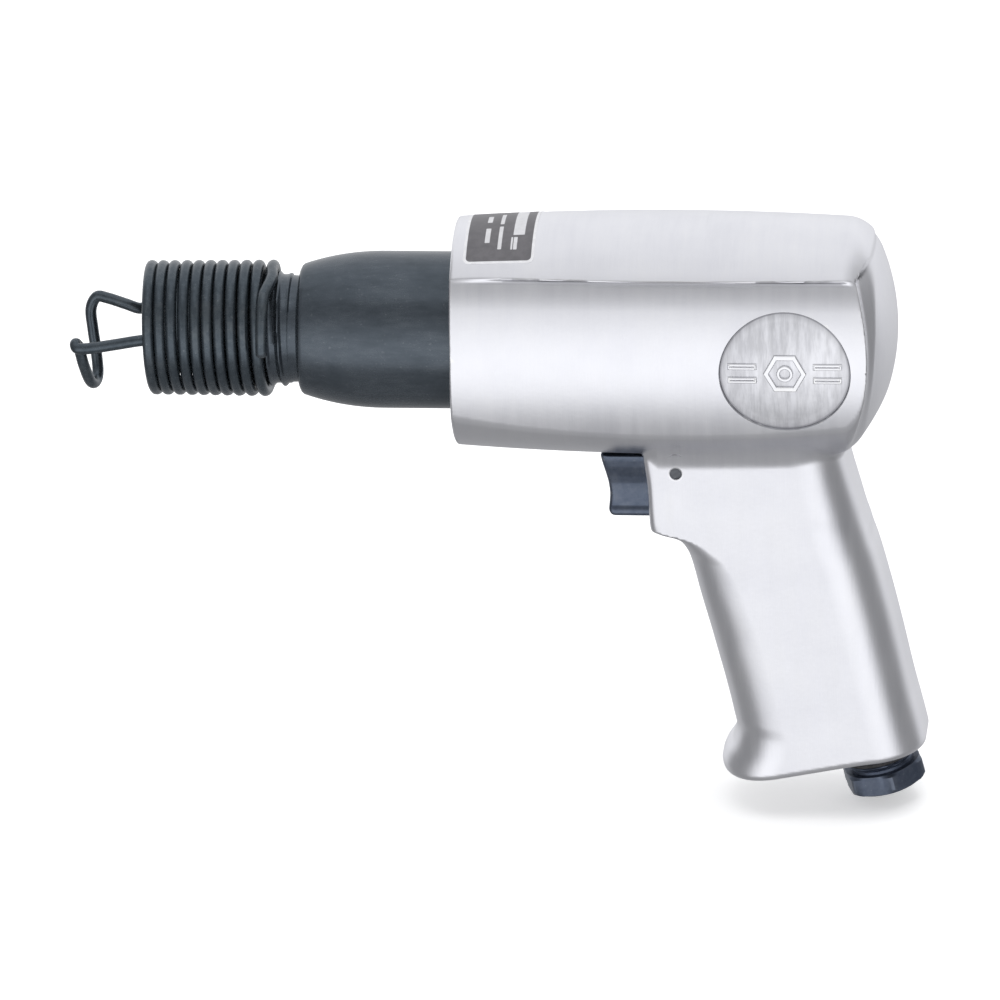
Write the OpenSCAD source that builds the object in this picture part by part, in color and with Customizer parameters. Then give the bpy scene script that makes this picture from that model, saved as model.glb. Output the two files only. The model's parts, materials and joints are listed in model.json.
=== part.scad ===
// Pneumatic air hammer with a pistol grip and a coil-spring chisel retainer.
// Origin at the mouth of the chisel shank bore, on the barrel axis. The barrel points along -X,
// the housing lies towards +X and the grip hangs down along -Z.

/* [Barrel] */
// Diameter of the bore that takes the chisel shank
shank_bore_d = 10.3; // [10.2:0.05:10.5]
// Length of the shank bore, from the nose to the piston chamber
shank_bore_len = 30; // [26:1:32]
// Diameter of the piston chamber
chamber_d = 19.04; // [19:0.01:19.2]
// Outer radius of the nose that the retainer screws over
nose_r = 13.7; // [13:0.05:13.72]
// Where the neck ends and the shoulder starts
neck_end_x = 26; // [25:0.5:28]
// Outer radius of the barrel's body
barrel_r = 19.65; // [19:0.05:20]
// Rear end face of the barrel
barrel_rear_x = 126; // [125:0.5:126]
// Outer radius of the threaded tail that screws into the housing
tail_r = 17.9; // [17:0.05:17.9]

/* [Retainer spring] */
// Wire diameter
wire_d = 2.85; // [2.7:0.05:2.9]
// Radius of the coil, measured to the middle of the wire
coil_r = 15.43; // [15.43:0.01:15.6]
// Advance of the coil for one turn
coil_pitch = 3.1; // [3:0.02:3.2]
// Number of whole turns
coil_turns = 10; // [8:1:10]

/* [Housing body] */
// Largest radius of the housing body
body_r = 30.45; // [29.8:0.05:31]
// Front face of the housing
body_front_x = 65.4; // [64:0.1:68]
// Rearmost point of the domed rear end
body_rear_x = 175; // [174:0.5:178]
// Where along the barrel the body is widest
body_peak_x = 121; // [115:1:126]
// Radius of the gentle bow along the body
bow_r = 800; // [700:50:1500]
// Radius of the rear dome
dome_r = 52; // [50:1:60]
// Half width across the two side panels
panel_half_w = 25.9; // [25.5:0.1:26.5]
// Radius of each bowed side panel
panel_r = 57; // [50:1:60]
// Height of the edge where the top cap overhangs the side panels
cap_edge_z = 22; // [21:0.5:23]
// Radius of the exhaust chamber around the barrel
exhaust_r = 24.5; // [23:0.1:25]

/* [Grip] */
// Half thickness of the grip
grip_half_w = 17; // [16.5:0.1:17.5]
// Lean of the grip and of the air inlet
grip_lean = 12.3; // [12:0.1:12.6]

/* [Trigger and throttle] */
// Height of the throttle axis
throttle_z = -38.5; // [-38.8:0.1:-38.2]
// Distance that the trigger travels
trigger_travel = 4.5; // [3.5:0.1:4.5]
// Radius of the throttle bushing
bushing_r = 7; // [6.5:0.1:7]
// Radius of the throttle stem
stem_r = 2; // [1.8:0.05:2.1]

/* [Air inlet] */
// Hexagon size across the flats
inlet_hex_af = 19; // [17:1:19]
// Radius of the inlet's pipe thread at its minor diameter
inlet_thread_r = 5.65; // [5.5:0.05:5.8]

/* [Hidden] */

$fn = 96;
eps = 0.01;
run_gap = 0.03;          // radial clearance of a sliding shaft
fit_gap = 0.05;          // radial clearance of a part that is screwed or dropped in
part_gap = 0.3;          // clearance between a moving part and its neighbours

wire_r = wire_d / 2;
chamber_r = chamber_d / 2;

// Height at which the side panels are widest
panel_mid_z = -4.8;

// Barrel
shoulder_r = 15.9;
shoulder_len = 20;
tail_x = 102.5;
exhaust_port_x = 86;
exhaust_port_r = 2.5;
chamber_len = barrel_rear_x - shank_bore_len;

// Piston
piston_len = 29;
piston_travel = chamber_len - piston_len;

// Valve chest behind the barrel
block_len = 10;
cover_len = 6;
washer_len = 1.6;
cover_x = barrel_rear_x + block_len;
washer_x = cover_x + cover_len;
pocket_end_x = washer_x + washer_len;
valve_r = 15.9;
disc_r = 10.4;
disc_len = 0.8;
disc_travel = 1.2;
disc_recess_len = disc_len + disc_travel;
dowel_r = 1.5;
dowel_ring_r = 12.8;
o_ring_r = 0.9;
air_room_r = 11;
air_room_end_x = 157;

// Throttle group along the grip's head
pocket_front_x = 111;
trigger_rear_x = 125;
pocket_rear_x = trigger_rear_x + trigger_travel + 0.5;
trigger_half_w = 9.5;
trigger_top_z = -29.9;
trigger_bottom_z = -46.4;
pin_x = 120.4;
pin_z = -31.4;
pin_r = 1.5;
bushing_x = pocket_rear_x;
bushing_end_x = 145;
spring_room_r = 5.6;
spring_room_end_x = 158;
stem_front_x = trigger_rear_x;
stem_head_r = 4.3;
seal_len = 0.8;
head_x = bushing_end_x + seal_len;
head_len = 2;
stem_end_x = head_x + head_len + 2.5;
port_x = 138.5;

// Inlet axis: a point on it and its lean give the place of every inlet part
inlet_x = 168.95;
inlet_z = -117.4;
inlet_neck_r = 8.3;
inlet_neck_len = 20;
inlet_hex_len = 5.4;
hex_turn = 13;
inlet_thread_len = 14;
channel_r = 4.2;
channel_top = 80;
screen_room_r = 6.5;

// Bottom plane of the grip
heel_x = 157;
heel_z = -113.1;
heel_rise = 10.9;

// Grip stations: height, front face, rear face, front corner radius, rear corner radius
GRIP = [
  [-18, 111.7, 159.1, 2.2, 10], [-26.4, 112.1, 160.9, 2.2, 11], [-36.4, 113.1, 163.3, 2.2, 12],
  [-43.4, 113.3, 165.2, 2.3, 12.5], [-47.6, 113.6, 166.3, 2.6, 13], [-48.7, 115.2, 166.7, 3.2, 13],
  [-49.8, 118.4, 167, 4.2, 13], [-51, 120.4, 167.4, 5.5, 13], [-53.2, 121.6, 168, 7.5, 13],
  [-56.6, 122.5, 169.1, 9, 13], [-68, 124.8, 172, 10, 13], [-80, 127.6, 174.6, 10, 13],
  [-95, 131.1, 177.7, 10, 13], [-101, 132.2, 179.1, 10.5, 13], [-105, 132.5, 180, 12, 13],
  [-109, 131.6, 180.8, 13.5, 13], [-112.5, 129.4, 181.4, 14, 13], [-115.5, 129, 181.6, 14, 13],
  [-118, 130.5, 181.6, 14, 13], [-121, 138, 181.6, 14, 13]
];

function body_r_at(x) = body_r - pow(x - body_peak_x, 2) / (2 * bow_r);
module along_x(x = 0) {
  translate([x, 0, 0]) rotate([0, 90, 0]) children();
}

module on_throttle(x = 0) {
  translate([x, 0, throttle_z]) rotate([0, 90, 0]) children();
}

// Children are drawn pointing down the inlet, with z = 0 at the hexagon's top face
module on_inlet(distance = 0) {
  translate([inlet_x, 0, inlet_z]) rotate([0, 180 - grip_lean, 0]) translate([0, 0, distance]) children();
}

module ring(inner, outer, length) {
  difference() {
    cylinder(r = outer, h = length);
    translate([0, 0, -eps]) cylinder(r = inner, h = length + 2 * eps);
  }
}

module torus(middle_r, section_r) {
  rotate_extrude() translate([middle_r, 0]) circle(r = section_r, $fn = 24);
}

// ---- Swept wire: a tube of 8 sides along a list of points ----

function unit(v) = v / norm(v);
function tangent(points, i) = unit(points[min(i + 1, len(points) - 1)] - points[max(i - 1, 0)]);
function side_of(t) = unit(cross(t, abs(t[0]) < 0.8 ? [1, 0, 0] : [0, 0, 1]));

// Carries the ring's first direction along the path so that the tube does not twist
function carried(points, i, previous) = let (t = tangent(points, i)) unit(previous - t * (previous * t));
function frames(points, i = 0, previous = undef, done = []) = i == len(points)
  ? done
  : let (now = i == 0 ? side_of(tangent(points, 0)) : carried(points, i, previous))
    frames(points, i + 1, now, concat(done, [now]));

module wire(points, r, sides = 8) {
  sides_of = frames(points);
  count = len(points);
  rings = [
    for (i = [0 : count - 1])
      let (t = tangent(points, i), a = sides_of[i], b = cross(t, a))
        for (k = [0 : sides - 1]) points[i] + r * (a * cos(360 * k / sides) + b * sin(360 * k / sides))
  ];
  walls = [
    for (i = [0 : count - 2], k = [0 : sides - 1])
      [i * sides + k, (i + 1) * sides + k, (i + 1) * sides + (k + 1) % sides, i * sides + (k + 1) % sides]
  ];
  start_cap = [[for (k = [0 : sides - 1]) k]];
  end_cap = [[for (k = [sides - 1 : -1 : 0]) (count - 1) * sides + k]];
  polyhedron(points = rings, faces = concat(walls, start_cap, end_cap), convexity = 10);
}

// Smooth curve through hand-placed points
function bend(p, i, t) =
  let (a = p[max(i - 1, 0)], b = p[i], c = p[i + 1], d = p[min(i + 2, len(p) - 1)])
    0.5 * (2 * b + (c - a) * t + (2 * a - 5 * b + 4 * c - d) * t * t + (3 * b - a - 3 * c + d) * t * t * t);
function smooth_path(p, steps) = concat(
  [for (i = [0 : len(p) - 2], s = [0 : steps - 1]) bend(p, i, s / steps)],
  [p[len(p) - 1]]
);

// ---- Housing ----

module side_bow(side) {
  translate([0, side * (panel_r - panel_half_w), panel_mid_z])
    along_x(body_front_x - 1) cylinder(r = panel_r, h = 120);
}

module body_core() {
  steps = 16;
  intersection() {
    along_x() rotate_extrude() polygon(concat(
      [[0, body_front_x]],
      [
        for (i = [0 : steps])
          let (x = body_front_x + (body_rear_x - body_front_x) * i / steps) [body_r_at(x), x]
      ],
      [[0, body_rear_x]]
    ));
    union() {
      intersection() {
        side_bow(-1);
        side_bow(1);
      }
      translate([body_front_x - 1, -40, cap_edge_z]) cube([120, 80, 20]);
    }
  }
}

// The rear end is trimmed to a ball, which is turned so that its poles stay off the cut faces
module body_shell() {
  difference() {
    body_core();
    difference() {
      translate([body_rear_x - 35, -60, -60]) cube([60, 120, 120]);
      translate([body_rear_x - dome_r, 0, 2]) rotate([0, 0, 180]) sphere(r = dome_r);
    }
  }
}

// One level slice of the grip: a rectangle with its own corner radius at the front and at the rear
function corner(cx, cy, r, from) = [for (a = [from : 15 : from + 90]) [cx + r * cos(a), cy + r * sin(a)]];
function slice(front, rear, fr, rr) = concat(
  corner(rear - rr, grip_half_w - rr, rr, 0), corner(front + fr, grip_half_w - fr, fr, 90),
  corner(front + fr, fr - grip_half_w, fr, 180), corner(rear - rr, rr - grip_half_w, rr, 270)
);

module grip_solid() {
  levels = len(GRIP);
  slices = [for (g = GRIP) slice(g[1], g[2], g[3], g[4])];
  sides = len(slices[0]);
  points = [for (i = [0 : levels - 1], p = slices[i]) [p[0], p[1], GRIP[i][0]]];
  walls = [
    for (i = [0 : levels - 2], k = [0 : sides - 1])
      [i * sides + k, i * sides + (k + 1) % sides, (i + 1) * sides + (k + 1) % sides, (i + 1) * sides + k]
  ];
  top = [[for (k = [sides - 1 : -1 : 0]) k]];
  bottom = [[for (k = [0 : sides - 1]) (levels - 1) * sides + k]];
  difference() {
    polyhedron(points = points, faces = concat(walls, top, bottom), convexity = 6);
    translate([heel_x, 0, heel_z]) rotate([0, -heel_rise, 0]) translate([-60, -30, -20]) cube([120, 60, 20]);
  }
}

module body_bores() {
  along_x(body_front_x - 1) cylinder(r = exhaust_r, h = tail_x + 1.5 - body_front_x + 1);
  along_x(body_front_x) cylinder(r = tail_r + fit_gap, h = barrel_rear_x - body_front_x);
  along_x(barrel_rear_x - eps) cylinder(r = valve_r + fit_gap, h = pocket_end_x - barrel_rear_x + eps);
  along_x(pocket_end_x - eps) cylinder(r = air_room_r, h = air_room_end_x - pocket_end_x);
}

module throttle_bores() {
  half_w = trigger_half_w + part_gap;
  translate([95, -half_w, trigger_bottom_z - part_gap])
    cube([pocket_rear_x - 95, 2 * half_w, trigger_top_z - trigger_bottom_z + 2 * part_gap]);
  on_throttle(pocket_rear_x - eps) cylinder(r = bushing_r + fit_gap, h = bushing_end_x - pocket_rear_x + eps);
  on_throttle(bushing_end_x - eps) cylinder(r = spring_room_r, h = spring_room_end_x - bushing_end_x);
  translate([pin_x, 0, pin_z]) rotate([90, 0, 0]) cylinder(r = pin_r + 0.01, h = 60, center = true);
  // Slanted passage from the throttle ports up to the air room behind the valve
  passage_from = [port_x, 0, throttle_z];
  passage_to = [152, 0, -6];
  passage = passage_to - passage_from;
  translate(passage_from) rotate([0, atan2(passage[0], passage[2]), 0]) cylinder(r = 3.5, h = norm(passage));
}

module inlet_bores() {
  on_inlet(-inlet_neck_len) cylinder(r = inlet_neck_r + fit_gap, h = 40);
  on_inlet(-inlet_neck_len - 4) cylinder(r = screen_room_r, h = 5);
  // Air channel up the grip to the spring room
  on_inlet(-channel_top) cylinder(r = channel_r, h = channel_top - inlet_neck_len + 1);
}

module housing() {
  color([0.86, 0.86, 0.88]) difference() {
    union() {
      body_shell();
      grip_solid();
    }
    body_bores();
    throttle_bores();
    inlet_bores();
    name_plate_shape(0.35);
  }
}

// ---- Barrel, washer and retainer ----

module barrel() {
  steps = 12;
  shoulder = [
    for (i = [0 : steps])
      let (t = i / steps, rise = sqrt(1 - (1 - t) * (1 - t)))
        [shoulder_r + (barrel_r - shoulder_r) * rise, neck_end_x + shoulder_len * t]
  ];
  outline = concat(
    [[0, 0], [nose_r - 1, 0], [nose_r, 1], [nose_r, neck_end_x]], shoulder,
    [[barrel_r, tail_x - 0.5], [barrel_r - 0.5, tail_x], [tail_r, tail_x]],
    [[tail_r, barrel_rear_x], [0, barrel_rear_x]]
  );
  color([0.16, 0.18, 0.21]) difference() {
    along_x() rotate_extrude() polygon(outline);
    along_x(-1) cylinder(d = shank_bore_d, h = shank_bore_len + 2);
    along_x(shank_bore_len) cylinder(r = chamber_r, h = chamber_len + 1);
    for (a = [45 : 90 : 315])
      translate([exhaust_port_x, 0, 0]) rotate([a, 0, 0]) cylinder(r = exhaust_port_r, h = 30);
    for (side = [-1, 1])
      translate([barrel_rear_x - 4, side * dowel_ring_r, 0])
        rotate([0, 90, 0]) cylinder(r = dowel_r + 0.01, h = 5);
  }
}

module lock_washer() {
  color([0.5, 0.5, 0.52]) along_x(tail_x) ring(tail_r + fit_gap, barrel_r + 1.5, 1.5);
}

module retainer_spring() {
  seg = 20;
  start_a = 61;
  start_x = -12;
  end_a = 90 + 360 * coil_turns;
  steps = round((end_a - start_a) / 360 * seg);
  function coil_point(a, r, x) = [x, r * cos(a), r * sin(a)];
  coil = [
    for (i = [0 : steps])
      let (a = start_a + (end_a - start_a) * i / steps)
        coil_point(a, coil_r, start_x + coil_pitch * (a - start_a) / 360)
  ];
  end_x = start_x + coil_pitch * (end_a - start_a) / 360;
  lift = wire_d + 0.2;
  tail = [
    for (i = [1 : 10])
      let (t = i / 10) coil_point(end_a + 95 * t, coil_r + lift * min(1, 1.6 * t), end_x - 1.6 * t * t)
  ];
  front = smooth_path(FRONT_LOOP, 4);
  color([0.18, 0.2, 0.23]) wire(concat([for (i = [0 : len(front) - 2]) front[i]], coil, tail), wire_r);
}

// Free end inside the coil, hook, the loop around the shank and the way back to the first turn
FRONT_LOOP = [
  [-8, -10.9, 1.5], [-13.3, -10.8, 1], [-20, -10.8, -0.2], [-26, -10.6, -1.3], [-29.2, -10, -1.6],
  [-29.9, -8.5, -1], [-29.3, -7.3, -2.4], [-28.4, -5.9, -7.9], [-27.4, -2.8, -13.4], [-26.6, 0.8, -15.4],
  [-26.2, 4, -14], [-26.8, 6.6, -9.2], [-27.5, 7.8, -4], [-27.8, 8, 1.4], [-26.2, 8, 4.7],
  [-23.5, 7.8, 4.5], [-19, 7.5, 3.1], [-15.4, 7.7, 1.8], [-13.4, 9, 2.4], [-12.4, 10.6, 5.2],
  [-12.1, 10.3, 9.6], [-12, 7.481, 13.496]
];

// ---- Piston and valve ----

module piston() {
  r = chamber_r - run_gap;
  x = barrel_rear_x - piston_len - 0.3;
  color([0.6, 0.6, 0.62]) along_x(x) rotate_extrude() polygon([
    [0, 0], [6.5, 0], [7.5, 1], [7.5, 3], [r - 0.4, 4.5], [r, 5], [r, 12],
    [r - 0.5, 12.3], [r - 0.5, 13.7], [r, 14],
    [r, 26], [r - 0.5, 26.3], [r - 0.5, 27.5], [r - 1, piston_len - 1], [r - 2, piston_len], [0, piston_len]
  ]);
}

module valve_block() {
  color([0.55, 0.55, 0.58]) difference() {
    along_x(barrel_rear_x) cylinder(r = valve_r, h = block_len);
    along_x(barrel_rear_x - 1) cylinder(r = 3.5, h = block_len + 2);
    along_x(cover_x - disc_recess_len) cylinder(r = disc_r + 0.3, h = disc_recess_len + 1);
    for (a = [45 : 90 : 315])
      rotate([a, 0, 0]) translate([barrel_rear_x - 1, 6.5, 0])
        rotate([0, 90, 0]) cylinder(r = 1.2, h = block_len + 2);
    dowel_holes();
  }
}

module dowel_holes() {
  for (side = [-1, 1])
    translate([barrel_rear_x - 5, side * dowel_ring_r, 0]) rotate([0, 90, 0])
      cylinder(r = dowel_r + 0.01, h = block_len + 5 + 3.2);
}

module valve_disc() {
  color([0.7, 0.7, 0.72]) along_x(cover_x - disc_len - disc_travel / 2) ring(2.2, disc_r, disc_len);
}

module valve_cover() {
  color([0.55, 0.55, 0.58]) difference() {
    along_x(cover_x) cylinder(r = valve_r, h = cover_len);
    for (a = [0 : 60 : 300])
      rotate([a, 0, 0]) translate([cover_x - 1, 6, 0]) rotate([0, 90, 0]) cylinder(r = 1.3, h = cover_len + 2);
    along_x(cover_x + 3.8) ring(valve_r - 1.8, valve_r + 1, 1.9);
    dowel_holes();
  }
}

module valve_dowels() {
  color([0.75, 0.75, 0.77]) for (side = [-1, 1])
    translate([barrel_rear_x - 3.8, side * dowel_ring_r, 0]) rotate([0, 90, 0]) cylinder(r = dowel_r, h = 16.5);
}

module valve_o_ring() {
  color([0.08, 0.08, 0.08]) along_x(cover_x + 4.75) torus(valve_r - o_ring_r + 0.02, o_ring_r - 0.03);
}

module rear_washer() {
  color([0.7, 0.68, 0.6]) along_x(washer_x) ring(10, valve_r - 0.3, washer_len);
}

// ---- Trigger and throttle ----

module trigger() {
  height = trigger_top_z - trigger_bottom_z;
  lip = 2.2;
  color([0.2, 0.23, 0.28]) difference() {
    rotate([90, 0, 0]) translate([0, 0, -trigger_half_w]) linear_extrude(2 * trigger_half_w) polygon(concat(
      [[trigger_rear_x, trigger_top_z], [100.9, trigger_top_z], [101.5, trigger_top_z - 3]],
      [for (t = [0 : 0.2 : 1]) [102.9 - 1.1 * pow(1 - t, 2), trigger_top_z - 4 - (height - 4 - lip) * t]],
      [[102.6, trigger_bottom_z + 1], [103.5, trigger_bottom_z], [trigger_rear_x, trigger_bottom_z]]
    ));
    // Open slot that the retaining pin lies in
    translate([pin_x - pin_r - part_gap - trigger_travel, -10, pin_z - pin_r - part_gap])
      cube([trigger_travel + 2 * (pin_r + part_gap) - 0.2, 20, 6]);
  }
}

module trigger_pin() {
  color([0.15, 0.16, 0.18]) translate([pin_x, 0, pin_z]) rotate([90, 0, 0])
    cylinder(r = pin_r, h = 2 * (grip_half_w - 0.7), center = true);
}

module throttle_bushing() {
  length = bushing_end_x - bushing_x;
  color([0.75, 0.62, 0.3]) difference() {
    on_throttle(bushing_x) cylinder(r = bushing_r, h = length);
    on_throttle(bushing_x - 1) cylinder(r = stem_r + run_gap, h = length + 2);
    on_throttle(bushing_x + 5) cylinder(r = 3.5, h = length);
    on_throttle(bushing_x - eps) cylinder(r = stem_r + 1.15, h = 1.8);
    on_throttle(port_x - 2.5) ring(bushing_r - 1.2, bushing_r + 1, 5);
    for (a = [0 : 90 : 270])
      translate([port_x, 0, throttle_z]) rotate([a, 0, 0]) cylinder(r = 1.9, h = 12);
    for (x = [bushing_x + 1.6, bushing_end_x - 3.4])
      on_throttle(x) ring(bushing_r - 1.5, bushing_r + 1, 1.8);
  }
}

module bushing_o_rings() {
  color([0.08, 0.08, 0.08]) for (x = [bushing_x + 2.5, bushing_end_x - 2.5])
    on_throttle(x) torus(bushing_r - 0.75, 0.74);
}

module stem_o_ring() {
  color([0.08, 0.08, 0.08]) on_throttle(bushing_x + 0.95) torus(stem_r + 0.6, 0.5);
}

module throttle_stem() {
  color([0.72, 0.72, 0.74]) union() {
    on_throttle(stem_front_x) cylinder(r = stem_r, h = stem_end_x - stem_front_x);
    on_throttle(head_x) cylinder(r = stem_head_r, h = head_len);
  }
}

module throttle_seal() {
  color([0.08, 0.08, 0.08]) on_throttle(bushing_end_x) ring(stem_r + fit_gap, stem_head_r + 0.2, seal_len);
}

module throttle_spring() {
  seg = 12;
  turns = 5;
  r = 3.2;
  wire = 0.4;
  x0 = head_x + head_len + wire + 0.02;
  x1 = spring_room_end_x - wire - 0.05;
  points = [
    for (i = [0 : turns * seg])
      let (a = 360 * i / seg) [x0 + (x1 - x0) * i / (turns * seg), r * cos(a), throttle_z + r * sin(a)]
  ];
  color([0.7, 0.7, 0.72]) wire(points, wire, 6);
}

// ---- Air inlet ----

module inlet_bushing() {
  hex_r = inlet_hex_af / 2 / cos(30);
  color([0.2, 0.23, 0.28]) difference() {
    union() {
      on_inlet(-inlet_neck_len) cylinder(r = inlet_neck_r, h = inlet_neck_len + eps);
      intersection() {
        on_inlet(0) rotate([0, 0, hex_turn]) cylinder(r = hex_r, h = inlet_hex_len, $fn = 6);
        on_inlet(0) rotate_extrude() polygon([
          [0, 0], [hex_r, 0], [hex_r, inlet_hex_len - 1.6], [hex_r - 1.8, inlet_hex_len], [0, inlet_hex_len]
        ]);
      }
      on_inlet(-2.2) cylinder(r = inlet_neck_r + 0.7, h = 2.2 + eps);
    }
    on_inlet(inlet_hex_len - inlet_thread_len) cylinder(r = inlet_thread_r, h = inlet_thread_len + 1);
    on_inlet(-inlet_neck_len - 1) cylinder(r = channel_r, h = 30);
  }
}

module inlet_o_ring() {
  color([0.08, 0.08, 0.08]) on_inlet(-3.15) torus(inlet_neck_r + 0.72, 0.68);
}

module inlet_screen() {
  color([0.75, 0.75, 0.72]) difference() {
    on_inlet(-inlet_neck_len - 1) cylinder(r = 6.3, h = 1);
    on_inlet(-inlet_neck_len - 2) cylinder(r = 0.8, h = 3);
    for (a = [0 : 60 : 300])
      on_inlet(-inlet_neck_len - 2) rotate([0, 0, a]) translate([2.6, 0, 0]) cylinder(r = 0.8, h = 3);
  }
}

// Thin curved plate let into the top of the housing
module name_plate_shape(depth) {
  length = 16.8;
  reach = 15;
  intersection() {
    difference() {
      along_x(69.5) cylinder(r = body_r_at(78), h = length);
      along_x(69) cylinder(r = body_r_at(70) - depth, h = length + 1);
    }
    translate([69.5, -reach, 20]) cube([length, 2 * reach, 20]);
  }
}

module name_plate() {
  color([0.45, 0.45, 0.48]) intersection() {
    name_plate_shape(0.3);
    along_x(60) cylinder(r = body_r_at(70), h = 40);
  }
}

housing();
barrel();
lock_washer();
retainer_spring();
piston();
valve_block();
valve_disc();
valve_cover();
valve_dowels();
valve_o_ring();
rear_washer();
trigger();
trigger_pin();
throttle_bushing();
bushing_o_rings();
throttle_stem();
throttle_seal();
stem_o_ring();
throttle_spring();
inlet_bushing();
inlet_o_ring();
inlet_screen();
name_plate();
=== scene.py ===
import json
import math
import bmesh
import bpy
import numpy as np
from mathutils import Matrix, Vector

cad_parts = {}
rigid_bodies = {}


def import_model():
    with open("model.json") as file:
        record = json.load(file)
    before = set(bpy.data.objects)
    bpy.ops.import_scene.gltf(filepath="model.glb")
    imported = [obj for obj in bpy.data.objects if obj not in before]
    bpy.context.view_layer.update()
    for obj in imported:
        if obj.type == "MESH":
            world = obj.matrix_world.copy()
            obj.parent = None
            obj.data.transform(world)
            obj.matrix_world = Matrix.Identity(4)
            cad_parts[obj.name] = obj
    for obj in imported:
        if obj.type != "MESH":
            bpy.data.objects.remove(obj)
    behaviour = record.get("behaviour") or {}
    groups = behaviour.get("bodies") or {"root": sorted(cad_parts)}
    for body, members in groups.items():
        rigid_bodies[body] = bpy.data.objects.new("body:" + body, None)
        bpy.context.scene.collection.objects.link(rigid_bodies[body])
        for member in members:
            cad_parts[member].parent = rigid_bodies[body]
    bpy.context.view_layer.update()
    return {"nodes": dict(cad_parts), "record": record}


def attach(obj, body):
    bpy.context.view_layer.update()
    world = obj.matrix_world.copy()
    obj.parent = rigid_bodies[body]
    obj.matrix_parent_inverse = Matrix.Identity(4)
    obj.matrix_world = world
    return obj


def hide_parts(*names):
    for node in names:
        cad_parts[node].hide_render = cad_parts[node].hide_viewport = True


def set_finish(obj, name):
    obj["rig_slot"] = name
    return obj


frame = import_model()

MM = 0.001
NODES = frame["nodes"]

# ---------------------------------------------------------------- mesh helpers


def make(name, verts, faces, smooth_angle=35.0, scale=MM):
    """A mesh object from points in millimetres; edges sharper than smooth_angle stay sharp."""
    me = bpy.data.meshes.new(name)
    me.from_pydata((np.asarray(verts, float) * scale).tolist(), [], faces)
    me.validate()
    ob = bpy.data.objects.new(name, me)
    bpy.context.scene.collection.objects.link(ob)
    shade(ob, smooth_angle)
    return ob


def shade(ob, angle=35.0):
    me = ob.data
    me.shade_smooth()
    me.set_sharp_from_angle(angle=math.radians(angle))


def lathe(profile, place, sides=96, closed=False, wave=None):
    """Points and faces of a turned solid.

    profile holds (along, radius) pairs; place maps (along, a, b) to the frame."""
    rings, n = [], len(profile)
    for i, (s, r) in enumerate(profile):
        for k in range(sides):
            a = 2 * math.pi * k / sides
            rr = r + (wave(s, a) if wave and r > 0.01 else 0.0)
            rings.append(place(s, rr * math.cos(a), rr * math.sin(a)))
    faces = []
    last = n if closed else n - 1
    for i in range(last):
        j = (i + 1) % n
        for k in range(sides):
            k2 = (k + 1) % sides
            faces.append((i * sides + k, i * sides + k2, j * sides + k2, j * sides + k))
    if not closed:
        faces.append(tuple(reversed(range(sides))))
        faces.append(tuple((n - 1) * sides + k for k in range(sides)))
    return rings, faces


def along_x(z0=0.0):
    return lambda s, a, b: (s, a, z0 + b)


LEAN = math.radians(12.3)
INLET = (168.95, -117.4)


def on_inlet(s, a, b):
    """s runs down the inlet from the hexagon's top face."""
    c, n = math.cos(LEAN), math.sin(LEAN)
    return (INLET[0] + s * n - a * c, b, INLET[1] - s * c - a * n)


def recalc(ob):
    bm = bmesh.new()
    bm.from_mesh(ob.data)
    bmesh.ops.recalc_face_normals(bm, faces=bm.faces)
    bm.to_mesh(ob.data)
    bm.free()


def cut(ob, cutters):
    """Takes the cutters out of ob and removes them."""
    for c in cutters:
        recalc(c)
        m = ob.modifiers.new("cut", "BOOLEAN")
        m.operation, m.object = "DIFFERENCE", c
        m.solver = "MANIFOLD"
    dg = bpy.context.evaluated_depsgraph_get()
    me = bpy.data.meshes.new_from_object(ob.evaluated_get(dg))
    old = ob.data
    ob.modifiers.clear()
    ob.data = me
    bpy.data.meshes.remove(old)
    for c in cutters:
        bpy.data.objects.remove(c)


def rmax(a, b, r):
    """Intersection with a rounded edge of radius r."""
    return np.minimum(np.maximum(a + r, b + r), 0) + np.hypot(np.maximum(a + r, 0), np.maximum(b + r, 0)) - r


def rmin(a, b, r):
    """Union with a fillet of radius r."""
    return -rmax(-a, -b, r)


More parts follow.
